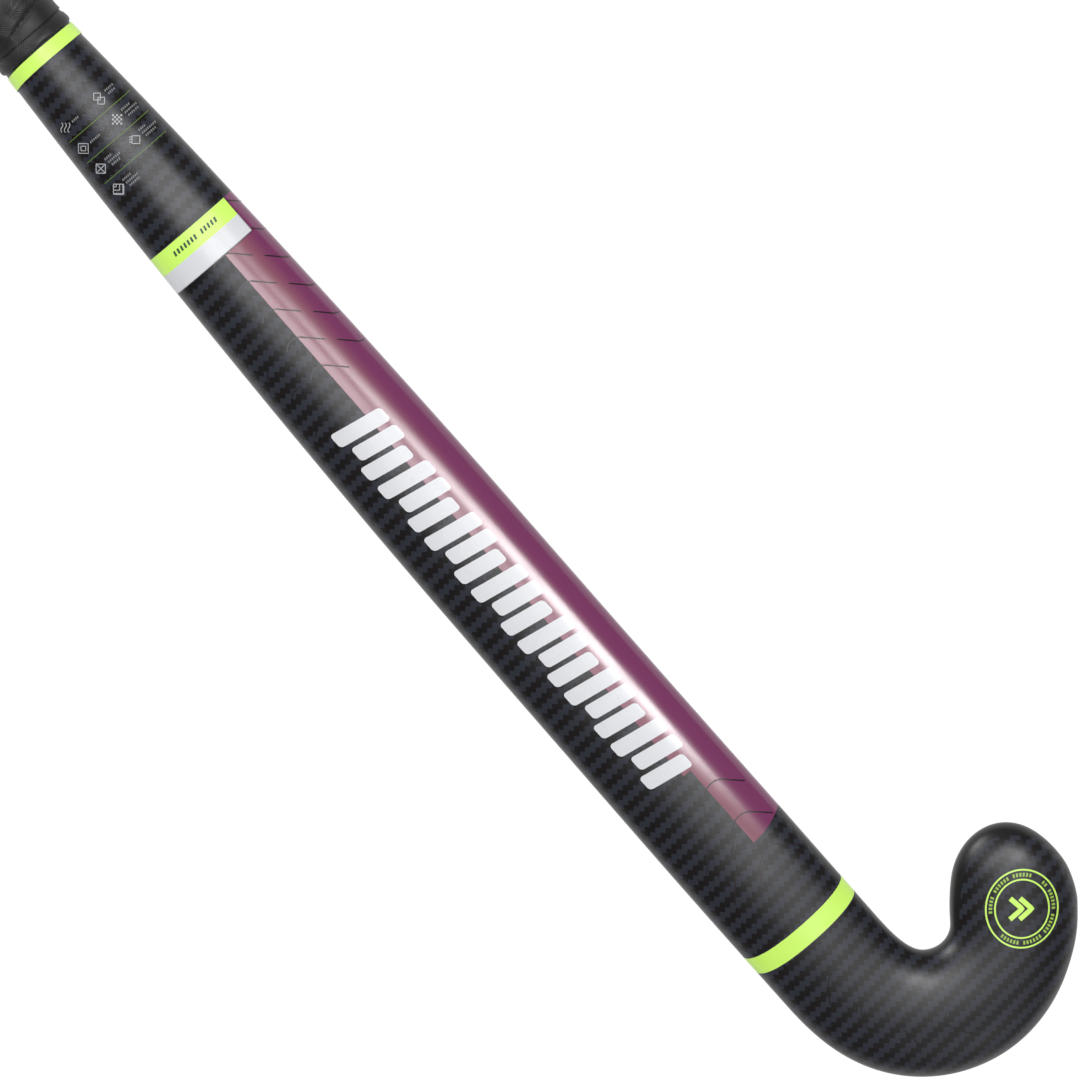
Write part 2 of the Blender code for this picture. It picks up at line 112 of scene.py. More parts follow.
HANDLE_SLOPE = (BOW - HANDLE_REST) / (LENGTH - BOW_APEX - 0.5 * BOW_FADE)


def station(distance):
    """Section values at a distance from the head end, by a monotone cubic."""
    places = STATIONS[:, 0]
    where = min(max(distance, places[0]), places[-1])
    k = min(int(np.searchsorted(places, where, side="right")) - 1, len(places) - 2)
    slopes = np.diff(STATIONS[:, 1:], axis=0) / np.diff(places)[:, None]

    def tangent(i):
        if i == 0 or i == len(places) - 1:
            return slopes[0] * 0.0
        before = slopes[i - 1]
        after = slopes[i]
        same_way = before * after > 0
        total = np.where(same_way, before + after, 1.0)
        return np.where(same_way, 2 * before * after / total, 0.0)

    step = places[k + 1] - places[k]
    u = (where - places[k]) / step
    return (
        (1 + 2 * u) * (1 - u) ** 2 * STATIONS[k, 1:]
        + u * (1 - u) ** 2 * step * tangent(k)
        + u * u * (3 - 2 * u) * STATIONS[k + 1, 1:]
        + u * u * (u - 1) * step * tangent(k + 1)
    )


def face_height(distance):
    """Height of the playing face line by distance from the head end."""
    if distance < HEAD_STRAIGHT:
        return HEAD_SLOPE * distance
    if distance < BOW_APEX:
        left = BOW_APEX - distance
        return BOW - 0.5 * HEAD_SLOPE * left * left / (BOW_APEX - HEAD_STRAIGHT)
    past = distance - BOW_APEX
    if past < BOW_FADE:
        return BOW - 0.5 * HANDLE_SLOPE * past * past / BOW_FADE
    return BOW - HANDLE_SLOPE * (past - 0.5 * BOW_FADE)


class Centreline:
    """Plan view of the stick's middle, from the butt round the hook to the toe."""

    STEP = 0.0002

    def __init__(self):
        start = LENGTH - HOOK_START
        arc = math.radians(HOOK_TURN) * HOOK_RADIUS - 0.5 * HOOK_EASE
        self.toe_start = start + HOOK_EASE + arc + TOE_LENGTH
        s = np.arange(0.0, self.toe_start + TOE_ROUND + 0.001, self.STEP)
        build_up = np.clip((s - start) / HOOK_EASE, 0, 1) / HOOK_RADIUS
        fade = np.clip((s - start - HOOK_EASE - arc) / TOE_CURVE_EASE, 0, 1)
        bend = build_up * (1 - fade) + fade * TOE_CURVATURE
        set_start = LENGTH - SHAFT_SET_FROM
        setting = (s > set_start) & (s < set_start + SHAFT_SET_FADE)
        bend = bend + np.where(setting, SHAFT_SET / SHAFT_SET_FADE, 0.0)
        self.heading = np.cumsum(bend) * self.STEP
        self.s = s
        self.x = np.cumsum(np.cos(self.heading)) * self.STEP
        self.y = np.cumsum(np.sin(self.heading)) * self.STEP
        full = np.interp(s - self.toe_start, EDGE_FULL_AT, EDGE_FULL)
        window = np.hanning(round(EDGE_FULL_EASE / self.STEP))
        self.full = np.convolve(full, window / window.sum(), mode="same")

    def at(self, s):
        """Position and heading at path length s."""
        x = float(np.interp(s, self.s, self.x))
        y = float(np.interp(s, self.s, self.y))
        return x, y, float(np.interp(s, self.s, self.heading))

    def nearest(self, x, y):
        """Path length and sideways offset of a plan point."""
        k = int(np.argmin((self.x - x) ** 2 + (self.y - y) ** 2))
        across = -math.sin(self.heading[k]) * (x - self.x[k])
        across += math.cos(self.heading[k]) * (y - self.y[k])
        return float(self.s[k]), across


LINE = Centreline()
MOUNTS = {mount["name"]: mount for mount in frame["record"]["mounts"]}
BUTT = Vector(MOUNTS["butt_face"]["pos_m"])
# The butt face's mount lies at the widest line of the last section.
ORIGIN = Vector((BUTT.x, BUTT.y, BUTT.z - HANDLE_REST - station(LENGTH)[2]))


def fullness(s, across):
    """Scale of an offset from the middle line, for the fuller outer edge."""
    if across > 0:
        return 1.0
    return 1.0 + float(np.interp(s, LINE.s, LINE.full)) / station(LENGTH - s)[0]


def section_height(section, radial, top, grow=0.0):
    """Height of the back or of the face over the face line."""
    half, crest, widest, corner, exponent = section
    half += grow
    part = min(radial / half, 1.0)
    if top:
        arch = (1.0 - part ** exponent) ** (1.0 / exponent)
        return widest + (crest + grow - widest) * arch
    corner = max(corner + grow, LEAST_CORNER)
    past = min(max(radial - (half - corner), 0.0) / corner, 1.0)
    return widest - (widest + grow) * math.sqrt(max(1.0 - past * past, 0.0))


def place(s, across, height):
    """Point beside the centreline, at a height above the face line."""
    x, y, heading = LINE.at(s)
    across *= fullness(s, across)
    x -= math.sin(heading) * across
    y += math.cos(heading) * across
    return ORIGIN + Vector((x, y, face_height(LENGTH - x) + height))


def on_shaft(distance, across, lift):
    """Point of the shaft's back, by distance from the head end and offset."""
    section = station(distance)
    radial = min(abs(across), section[0] + lift)
    return place(LENGTH - distance, across, section_height(section, radial, True, lift))


def on_head(x, y, lift):
    """Point of the head's back over a plan position, x measured from the butt."""
    s, across = LINE.nearest(x, y)
    across /= fullness(s, across)
    section = station(LENGTH - s)
    reach = max(s - LINE.toe_start, 0.0) / TOE_ROUND
    radial = math.hypot(across, section[0] * reach)
    height = section_height(section, radial, True, lift)
    return ORIGIN + Vector((x, y, face_height(LENGTH - x) + height))


def section_points(s, grow, count):
    """Section at path length s as (across, height), shrinking over the toe's tip."""
    section = station(LENGTH - s)
    half = section[0] + grow
    reach = min(max((s - LINE.toe_start) / (TOE_ROUND + grow), 0.0), 1.0)
    shrink = math.sqrt(1.0 - reach * reach)
    points = []
    for k in range(count):
        angle = 2 * math.pi * k / count
        across = half * shrink * math.cos(angle)
        radial = math.hypot(across, half * reach)
        points.append((across, section_height(section, radial, k <= count // 2, grow)))
    return points


# ---- Meshes -------------------------------------------------------------
SHARP_ANGLE = math.radians(40.0)


def finish_piece(name, form, look, replaced=()):
    """Turn a bmesh into a piece that rides on the stick."""
    bmesh.ops.recalc_face_normals(form, faces=form.faces[:])
    mesh = bpy.data.meshes.new(name)
    form.to_mesh(mesh)
    form.free()
    mesh.shade_smooth()
    mesh.set_sharp_from_angle(angle=SHARP_ANGLE)
    mesh.materials.append(look)
    piece = bpy.data.objects.new(name, mesh)
    SCENE.collection.objects.link(piece)
    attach(piece, "root")
    if replaced:
        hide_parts(*replaced)
    return piece


def skin(form, first, second, closed=True):
    """Quads between two rows of vertices."""
    count = len(first)
    for k in range(count if closed else count - 1):
        after = (k + 1) % count
        form.faces.new((first[k], first[after], second[after], second[k]))


def skin_loop(form, rows):
    """Quads between rows that close on themselves."""
    for first, second in zip(rows, rows[1:] + rows[:1]):
        skin(form, first, second)


def cap(form, row, apex):
    """Triangles from a closed row of vertices to one point."""
    point = form.verts.new(apex)
    for k, vert in enumerate(row):
        form.faces.new((vert, row[(k + 1) % len(row)], point))
    return point


# ---- Procedural materials -----------------------------------------------
BLACK = (0.0, 0.0, 0.0, 1.0)
WHITE = (1.0, 1.0, 1.0, 1.0)


def srgb(red, green, blue):
    """Linear colour of an 8-bit display colour."""
    values = []
    for part in (red, green, blue):
        share = part / 255.0
        low = share / 12.92
        values.append(low if share <= 0.04045 else ((share + 0.055) / 1.055) ** 2.4)
    return (*values, 1.0)


class Look:
    """One material, with short calls for the nodes that it is made from."""

    def __init__(self, name, roughness, ior=1.5):
        self.material = bpy.data.materials.new(name)
        self.material.use_nodes = True
        self.tree = self.material.node_tree
        self.shader = self.tree.nodes["Principled BSDF"]
        self.shader.inputs["Roughness"].default_value = roughness
        self.shader.inputs["IOR"].default_value = ior

    def node(self, kind, **settings):
        made = self.tree.nodes.new(kind)
        for name, value in settings.items():
            setattr(made, name, value)
        return made

    def feed(self, socket, value):
        """Link an output to a socket, or set the socket to a number or colour."""
        if isinstance(value, bpy.types.NodeSocket):
            self.tree.links.new(value, socket)
        else:
            socket.default_value = value

    def math(self, operation, first, second=0.0, third=0.0):
        made = self.node("ShaderNodeMath", operation=operation)
        for socket, value in zip(made.inputs, (first, second, third)):
            self.feed(socket, value)
        return made.outputs[0]

    def mix(self, share, first, second):
        made = self.node("ShaderNodeMix", data_type="RGBA")
        self.feed(made.inputs["Factor"], share)
        self.feed(made.inputs[6], first)
        self.feed(made.inputs[7], second)
        return made.outputs[2]

    def ramp(self, value, low, high, start=0.0, stop=1.0):
        """Smooth change from start to stop as value goes from low to high."""
        made = self.node("ShaderNodeMapRange", interpolation_type="SMOOTHSTEP")
        for socket, number in zip(made.inputs, (value, low, high, start, stop)):
            self.feed(socket, number)
        return made.outputs[0]

    def attribute(self, name):
        return self.node("ShaderNodeAttribute", attribute_name=name)

    def place(self, stretch=(1.0, 1.0, 1.0)):
        """Object coordinates, stretched."""
        coordinates = self.node("ShaderNodeTexCoord").outputs["Object"]
        mapping = self.node("ShaderNodeMapping")
        self.feed(mapping.inputs["Vector"], coordinates)
        mapping.inputs["Scale"].default_value = stretch
        return mapping.outputs[0]

    def noise(self, scale, detail, vector=None):
        made = self.node("ShaderNodeTexNoise")
        made.inputs["Scale"].default_value = scale
        made.inputs["Detail"].default_value = detail
        self.feed(made.inputs["Vector"], self.place() if vector is None else vector)
        return made.outputs["Fac"]

    def bump(self, height, depth, strength):
        made = self.node("ShaderNodeBump")
        made.inputs["Strength"].default_value = strength
        made.inputs["Distance"].default_value = depth
        self.feed(made.inputs["Height"], height)
        self.feed(self.shader.inputs["Normal"], made.outputs[0])

    def colour(self, value):
        self.feed(self.shader.inputs["Base Color"], value)

    def roughness(self, value):
        self.feed(self.shader.inputs["Roughness"], value)


CLOTH_TURN = math.radians(49.16)  # the cloth's rows, turned from the handle's axis
CLOTH_COS = math.cos(CLOTH_TURN)
CLOTH_SIN = math.sin(CLOTH_TURN)
CLOTH_CELL = 0.00212  # width of one tow
TOW_FIBRES = 5  # fine fibres that show in one tow
HEAD_FROM = 0.33  # place along the stick where the lacquer turns duller
HEAD_CHANGE = 0.08  # length over which it does so


def carbon_look():
    """Two-by-two twill under satin lacquer, with plain walls at the shoulders darkened as painted
    shade.
    """
    look = Look("carbon_twill", 0.33)
    weave = look.node("ShaderNodeSeparateXYZ")
    look.feed(weave.inputs[0], look.attribute("weave").outputs["Vector"])
    across, down, wall = weave.outputs
    column = look.math("FLOOR", across)
    row = look.math("FLOOR", down)
    turn = look.math("FLOORED_MODULO", look.math("ADD", column, row), 4.0)
    warp = look.math("LESS_THAN", turn, 1.5)
    cell_across = look.math("FRACT", across)
    cell_down = look.math("FRACT", down)

    def strands(position, strength):
        """Fine parallel fibres inside a tow."""
        wave = look.math("SINE", look.math("MULTIPLY", position, 2 * math.pi * TOW_FIBRES))
        return look.math("MULTIPLY", wave, strength)

    fibres = look.mix(warp, strands(down, 0.5), strands(across, 0.5))
    speckle = look.noise(2600.0, 3.0)
    tone = look.math("MULTIPLY_ADD", speckle, 0.4, 0.3)
    tone = look.math("ADD", tone, look.math("MULTIPLY", fibres, 0.15))
    dark = look.mix(tone, srgb(13, 10, 11), srgb(24, 20, 21))
    blue = look.mix(tone, srgb(35, 37, 45), srgb(48, 50, 61))
    cloth = look.mix(warp, dark, blue)
    # The shoulders' walls show no twill, and their dark grey is painted shade of the steep wall
    # and its crease.
    cloth = look.mix(look.ramp(wall, 0.35, 0.65), cloth, srgb(23, 23, 24))
    look.colour(cloth)
    wear = look.ramp(look.noise(55.0, 4.0), 0.35, 0.75, 0.31, 0.36)
    along = look.node("ShaderNodeSeparateXYZ")
    look.feed(along.inputs[0], look.place())
    head = look.ramp(along.outputs[0], HEAD_FROM, HEAD_FROM + HEAD_CHANGE, 0.0, 0.05)
    look.roughness(look.math("ADD", wear, head))
    arch_across = look.math("SINE", look.math("MULTIPLY", cell_across, math.pi))
    arch_down = look.math("SINE", look.math("MULTIPLY", cell_down, math.pi))
    crown = look.math("MULTIPLY", arch_across, arch_down)
    look.bump(look.math("ADD", crown, fibres), 0.000012, 0.35)
    return look.material


def ink_look(name, colour, roughness, grain=0.06):
    """Printed ink with a trace of orange peel and uneven cover."""
    look = Look(name, roughness)
    cover = look.ramp(look.noise(900.0, 3.0), 0.2, 0.8, 1.0 - grain, 1.0)
    look.colour(look.mix(cover, BLACK, srgb(*colour)))
    look.roughness(look.ramp(look.noise(70.0, 3.0), 0.3, 0.7, roughness - 0.02, roughness + 0.03))
    look.bump(look.noise(420.0, 1.0), 0.000008, 0.15)
    return look.material


def panel_look():
    """Pearl panel that turns from rose at its edge to purple on the flank."""
    look = Look("panel_pearl", 0.19, ior=1.55)
    side = look.attribute("across").outputs["Fac"]
    share = look.ramp(side, 0.0115, 0.0175)
    base = look.mix(share, srgb(138, 82, 100), srgb(122, 56, 97))
    cover = look.ramp(look.noise(1400.0, 3.0), 0.2, 0.8, 0.94, 1.0)
    look.colour(look.mix(cover, BLACK, base))
    look.roughness(look.ramp(look.noise(60.0, 3.0), 0.3, 0.7, 0.18, 0.21))
    look.bump(look.noise(420.0, 1.0), 0.000008, 0.12)
    return look.material


def grip_look():
    """Soft black polymer with fine grain, round pads and ribs curved round them."""
    look = Look("grip_polymer", 0.5, ior=1.46)
    pads = look.node("ShaderNodeTexVoronoi", feature="F1")
    pads.inputs["Scale"].default_value = 58.0
    look.feed(pads.inputs["Vector"], look.place())
    reach = pads.outputs["Distance"]
    dome = look.ramp(reach, 0.28, 0.46, 1.0, 0.0)
    ring = look.math("MULTIPLY", look.ramp(reach, 0.30, 0.36), look.ramp(reach, 0.56, 0.48))
    ribs = look.math("MULTIPLY", look.math("SINE", look.math("MULTIPLY", reach, 150.0)), ring)
    tone = look.noise(140.0, 4.0)
    look.colour(look.mix(tone, srgb(24, 24, 25), srgb(40, 40, 41)))
    look.roughness(look.ramp(tone, 0.3, 0.7, 0.42, 0.54))
    fine = look.math("MULTIPLY", look.noise(900.0, 3.0), 0.12)
    relief = look.math("ADD", look.math("MULTIPLY_ADD", ribs, 0.10, dome), fine)
    look.bump(relief, 0.0006, 0.8)
    return look.material


def rubber_look():
    """Matte moulded rubber with a faint cloudy bloom."""
    look = Look("cap_rubber", 0.7)
    tone = look.noise(90.0, 4.0)
    look.colour(look.mix(tone, srgb(30, 30, 31), srgb(48, 48, 49)))
    look.roughness(look.ramp(tone, 0.3, 0.7, 0.62, 0.78))
    look.bump(look.noise(900.0, 3.0), 0.00004, 0.35)
    return look.material


def inner_look(name, low, high, scale, depth, roughness, stretch=(1.0, 1.0, 1.0)):
    """Material of an inner piece: mottled colour and a grain of its own."""
    look = Look(name, roughness)
    grain = look.noise(scale, 4.0, look.place(stretch))
    look.colour(look.mix(grain, srgb(*low), srgb(*high)))
    look.roughness(look.ramp(grain, 0.2, 0.8, roughness - 0.08, min(roughness + 0.08, 1.0)))
    look.bump(grain, depth, 0.5)
    return look.material


CARBON = carbon_look()
PANEL = panel_look()
GRIP = grip_look()
RUBBER = rubber_look()
NEON = ink_look("ink_neon", (210, 255, 112), 0.30, grain=0.03)
SILVER = ink_look("ink_silver", (218, 219, 223), 0.26, grain=0.02)
NEON_DIM = ink_look("ink_neon_dim", (160, 196, 84), 0.34, grain=0.05)
EDGE = ink_look("ink_edge_violet", (44, 34, 58), 0.35)
LINE_DARK = ink_look("ink_line_dark", (34, 24, 30), 0.35)
LINE_GREY = ink_look("ink_line_grey", (74, 74, 72), 0.40)
LINE_FAINT = ink_look("ink_line_faint", (20, 19, 20), 0.33)
NOTE_DARK = ink_look("ink_note_dark", (52, 82, 62), 0.40)
NOTE_PALE = ink_look("ink_note_pale", (176, 177, 180), 0.40)
NOTE_SOFT = ink_look("ink_note_soft", (132, 133, 135), 0.40)
NOTE_GREEN = ink_look("ink_note_green", (96, 124, 54), 0.40)
# Darker and lighter colour, grain's scale, its depth, roughness, stretch.
INNER_LOOKS = {
    "laminate": ((44, 44, 46), (66, 66, 68), 300, 0.00004, 0.55, (0.2, 1, 1)),
    "foam": ((206, 192, 148), (226, 216, 180), 900, 0.0002, 0.90),
    "gel": ((70, 140, 78), (96, 172, 102), 60, 0.00005, 0.35),
    "fibre": ((176, 160, 116), (204, 190, 150), 900, 0.0001, 0.60, (0.1, 1, 1)),
    "tape": ((166, 166, 160), (196, 196, 190), 700, 0.0001, 0.90),
}
INNER_NODES = {
    "laminate": ("bridge_strip", "inner_tube_heel_side", "inner_tube_toe_side"),
    "foam": ("tube_plug_heel_side", "tube_plug_toe_side", "head_core", "butt_plug", "handle_foam"),
    "gel": ("head_gel_pad",),
    "fibre": ("damping_fibre_heel_side", "damping_fibre_toe_side"),
    "tape": ("grip_underlay",),
}


def dress_inner_nodes():
    """Procedural materials for the CAD nodes that stay inside the stick."""
    for finish, values in INNER_LOOKS.items():
        look = inner_look(finish, *values)
        for node in INNER_NODES[finish]:
            mesh = frame["nodes"][node].data
            mesh.materials.clear()
            mesh.materials.append(look)


# ---- The moulded stick --------------------------------------------------
BODY_POINTS = 128
# The shell's rows: where each run of them starts and ends, by distance from the head
# end, and their spacing under the grip, along the shaft and round the hook.
GRIP_ROWS_END = 0.565
GRIP_ROWS_STEP = 0.006
SHAFT_ROWS = (0.562, 0.090, 0.0025)
HOOK_ROWS = (0.088, 0.0016)
TIP_ROWS = 22
# Share of the half width where the cloth gives way to a plain wall, painted darker as shade: on
# the outer edge, on the inner edge, and on the inner edge of the toe.
WALL_OUTER = 0.955
WALL_INNER = 0.930
WALL_TOE = 0.830
WALL_CHANGE = 0.030  # length over which the toe's share takes over
WALL_SOFT = 0.02  # share over which cloth turns into wall


def weave_value(s, points, k):
    """Cloth coordinates, in tows, and share of the shade-darkened plain wall, of one point of a
    section.
    """
    half = station(LENGTH - s)[0]
    across = points[k][0]
    x, y, heading = LINE.at(s)
    crest = len(points) // 4
    top = k <= len(points) // 2
    middle = crest if top else 3 * crest
    step = 1 if k >= middle else -1
    arc = 0.0
    for j in range(middle, k, step):
        arc += math.dist(points[j], points[j + step])
    side = math.copysign(arc, across)
    px = x - math.sin(heading) * side
    py = y + math.cos(heading) * side
    right = px * CLOTH_COS + py * CLOTH_SIN
    down = px * CLOTH_SIN - py * CLOTH_COS
    reach = min(max((s - LINE.toe_start) / TOE_ROUND, 0.0), 1.0)
    share = math.hypot(across / half, reach)
    toe = min(max((s - LINE.toe_start) / WALL_CHANGE + 1.0, 0.0), 1.0)
    inner = WALL_INNER + (WALL_TOE - WALL_INNER) * toe
    side_share = min(max(0.5 + 2.0 * across / half, 0.0), 1.0)
    start = WALL_OUTER + (inner - WALL_OUTER) * side_share
    wall = 0.5 + (share - start) / WALL_SOFT
    return right / CLOTH_CELL, down / CLOTH_CELL, min(max(wall, 0.0), 1.0)


def make_stick_body():
    """Moulded shell in one skin, with the cloth's coordinates on its points."""
    start = CAP_THICK + 0.0003
    stops = list(np.arange(start, LENGTH - GRIP_ROWS_END, GRIP_ROWS_STEP))
    stops += list(np.arange(LENGTH - SHAFT_ROWS[0], LENGTH - SHAFT_ROWS[1], SHAFT_ROWS[2]))
    stops += list(np.arange(LENGTH - HOOK_ROWS[0], LINE.toe_start, HOOK_ROWS[1]))
    stops += [LINE.toe_start + TOE_ROUND * math.sin(t) for t in quarter_turns(TIP_ROWS)[:-1]]
    form = bmesh.new()
    rows = []
    values = []
    for s in stops:
        points = section_points(s, 0.0, BODY_POINTS)
        rows.append([form.verts.new(place(s, a, h)) for a, h in points])
        values += [weave_value(s, points, k) for k in range(BODY_POINTS)]
    for first, second in zip(rows, rows[1:]):
        skin(form, first, second)
    tip = LINE.toe_start + TOE_ROUND
    cap(form, rows[-1], place(tip, 0.0, station(LENGTH - tip)[2]))
    cap(form, rows[0], place(start, 0.0, station(LENGTH - start)[2]))
    values += [values[-1], values[0]]
    piece = finish_piece("stick_body", form, CARBON, ["carbon_shell"])
    weave = piece.data.attributes.new("weave", "FLOAT_VECTOR", "POINT")
    weave.data.foreach_set("vector", np.array(values, np.float32).ravel())


# ---- Prints -------------------------------------------------------------
PRINT_LIFT = 0.00005
PRINT_LAYER = 0.00001  # how much higher each print lies than the one below it
PRINT_THICK = 0.00014
LANE = 0.0012
STROKE_STEP = 0.0008


def lay_print(name, grids, ink, layer=0, replaced=(), surface=on_shaft, across=False):
    """Thin closed print through grids of flat points laid on the stick."""
    lift = PRINT_LIFT + layer * PRINT_LAYER
    form = bmesh.new()
    sides = []
    for grid in grids:
        upper = []
        lower = []
        for row in grid:
            upper.append([form.verts.new(surface(a, b, lift)) for a, b in row])
            lower.append([form.verts.new(surface(a, b, lift - PRINT_THICK)) for a, b in row])
            sides += 2 * [b for a, b in row]
        for rows in (upper, lower):
            for first, second in zip(rows, rows[1:]):
                skin(form, first, second, closed=False)
        skin(form, grid_rim(upper), grid_rim(lower))
    piece = finish_piece(name, form, ink, replaced)
    if across:
        values = piece.data.attributes.new("across", "FLOAT", "POINT")
        values.data.foreach_set("value", np.array(sides, np.float32))
    return piece


def grid_rim(rows):
    """Vertices round the edge of a grid, in order."""
    rim = list(rows[0])
    rim += [row[-1] for row in rows[1:]]
    rim += list(reversed(rows[-1][:-1]))
    rim += [row[0] for row in reversed(rows[1:-1])]
    return rim


def quad_grid(corners):
    """Grid over a four-sided figure, in lanes narrow enough to follow the arch."""
    a, b, c, d = [Vector(corner) for corner in corners]
    along = max((b - a).length, (c - d).length)
    sideways = max((d - a).length, (c - b).length)
    nu = max(1, math.ceil(along / LANE))
    nv = max(1, math.ceil(sideways / LANE))
    grid = []
    for j in range(nv + 1):
        v = j / nv
        left = a.lerp(d, v)
        right = b.lerp(c, v)
        grid.append([tuple(left.lerp(right, i / nu)) for i in range(nu + 1)])
    return grid


def smooth_path(points):
    """Points close together along a polyline."""
    path = [Vector(points[0])]
    for first, second in zip(points, points[1:]):
        first = Vector(first)
        second = Vector(second)
        count = max(1, math.ceil((second - first).length / STROKE_STEP))
        path += [first.lerp(second, k / count) for k in range(1, count + 1)]
    return path


def stroke(points, width, closed=False):
    """Grid of a line of even width along a path."""
    path = smooth_path(list(points) + ([points[0]] if closed else []))
    grid = []
    for k, point in enumerate(path):
        if closed and k in (0, len(path) - 1):
            way = path[1] - path[-2]
        else:
            way = path[min(k + 1, len(path) - 1)] - path[max(k - 1, 0)]
        normal = Vector((-way.y, way.x)).normalized() * 0.5 * width
        grid.append([tuple(point - normal), tuple(point + normal)])
    return grid


def drawn(origin, right, up):
    """Place on the shaft of a point drawn on the cloth's own axes."""
    distance = origin[0] - CLOTH_COS * right + CLOTH_SIN * up
    return (distance, origin[1] + CLOTH_SIN * right + CLOTH_COS * up)


def arc_points(centre, radius, start, stop, count=10):
    """Points of an arc, angles in degrees."""
    turns = [math.radians(start + (stop - start) * k / count) for k in range(count + 1)]
    return [(centre[0] + radius * math.cos(t), centre[1] + radius * math.sin(t)) for t in turns]


def quarter_turns(count):
    """Angles from nothing to a quarter turn."""
    return [0.5 * math.pi * k / count for k in range(count + 1)]


def leaning(s, points, leans):
    """Section's points in place, slid along the shaft by how far they lie below the
    crest. The two leans are those of the heel side and of the toe side."""
    crest = max(h for a, h in points)
    half, _, widest, _, _ = station(LENGTH - s)
    spots = []
    for across, height in points:
        toe_share = 0.5 + 0.5 * across / (half + PRINT_THICK)
        lean = leans[0] + (leans[1] - leans[0]) * min(max(toe_share, 0.0), 1.0)
        spots.append(place(s - lean * (crest - max(height, widest)), across, height))
    return spots


def make_ring_print(name, low, high, ink, lift, replaced, leans):
    """Print that goes all the way round the shaft. Its sides lean along the shaft."""
    form = bmesh.new()
    count = max(1, round((high - low) / RING_STEP))
    stops = [LENGTH - high + (high - low) * k / count for k in range(count + 1)]
    rows = []
    for grow, order in ((lift, stops), (lift - PRINT_THICK, stops[::-1])):
        for s in order:
            points = section_points(s, grow, BODY_POINTS)
            rows.append([form.verts.new(spot) for spot in leaning(s, points, leans)])
    skin_loop(form, rows)
    return finish_piece(name, form, ink, replaced)


BAND_LOW = 0.0873
BAND_HIGH = 0.0953
BAND_LEANS = (0.38, 0.31)
FINISH_LOW = 0.5424
FINISH_LEANS = (-0.12, -0.03)
EDGE_WIDTH = 0.00045
TAPE_LIFT = 0.0005  # the finishing tape is thicker than a print
TAPE_EDGE_LIFT = 0.0002
RING_STEP = 0.0020


def make_bands():
    """Neon band above the head and neon tape below the grip, with dark edges."""
    high = GRIP_END - 0.0003
    under = PRINT_LIFT - PRINT_LAYER
    rings = (
        ("lower_band", BAND_LOW, BAND_HIGH, NEON, PRINT_LIFT, ["lower_band_film"], BAND_LEANS),
        ("lower_band_edge_low", BAND_LOW - EDGE_WIDTH, BAND_LOW, EDGE, under, [], BAND_LEANS),
        ("lower_band_edge_high", BAND_HIGH, BAND_HIGH + EDGE_WIDTH, EDGE, under, [], BAND_LEANS),
        ("finishing_tape", FINISH_LOW, high, NEON, TAPE_LIFT, ["finishing_band"], FINISH_LEANS),
        ("finishing_tape_edge", FINISH_LOW - EDGE_WIDTH, FINISH_LOW, EDGE, TAPE_EDGE_LIFT, [],
         FINISH_LEANS),
    )
    for name, low, stop, ink, lift, replaced, leans in rings:
        make_ring_print(name, low, stop, ink, lift, replaced, leans)


PLATE_TOP = 0.4580
PLATE_SPLIT = 0.4497
PLATE_LOW = 0.4414
PLATE_SIDE = 0.0170
PANEL_TOP_SIDE = 0.0030  # the panel's edge under the plate, from the middle line
PANEL_STEP = 0.1707  # where that edge steps towards the toe side
PANEL_STEP_SIDES = (0.0046, 0.0083)
PANEL_END = 0.1327
PANEL_END_FLANK = 0.1365
PANEL_LANES = 34
PANEL_ROW_STEP = 0.003
PLATE_LANES = 60
PLATE_ROWS = 6


def flank(distance):
    """Offset of the widest line on the toe side."""
    return station(distance)[0] * 0.9999


def panel_grid(high, low, high_side, low_side, low_flank=None):
    """Grid between a straight inner edge and the flank."""
    count = max(2, math.ceil((high - low) / PANEL_ROW_STEP))
    grid = []
    for k in range(count + 1):
        share = k / count
        edge = high_side + (low_side - high_side) * share
        row = []
        for turn in quarter_turns(PANEL_LANES):
            spread = math.sin(turn)
            end = low if low_flank is None else low + (low_flank - low) * spread ** 2
            distance = high + (end - high) * share
            row.append((distance, edge + (flank(distance) - edge) * spread))
        grid.append(row)
    return grid


def make_panel():
    """Pearl panel down the toe side, in one print."""
    beside = PLATE_SIDE + 0.0002
    below = PLATE_LOW - 0.0004
    step_high, step_low = PANEL_STEP_SIDES
    grids = [
        panel_grid(PLATE_TOP, below, beside, beside),
        panel_grid(below, PANEL_STEP, PANEL_TOP_SIDE, step_high),
        panel_grid(PANEL_STEP, PANEL_END, step_low, step_low, PANEL_END_FLANK),
    ]
    lay_print("side_panel", grids, PANEL, 0, ["side_panel_film"], across=True)
    inner = [(PLATE_LOW, PANEL_TOP_SIDE), (PANEL_STEP, step_high)]
    lay_print("side_panel_edge", [stroke(inner, 0.0004)], LINE_DARK, 1)


TITLE_START = -0.0115
TITLE_PITCH = 0.0017
TITLE_BLOCK = (0.0009, 0.0021)
TITLE_GAP = 7  # the block that is left out
SLANT = 0.19  # how far blocks and bars lean towards the heel side as they rise


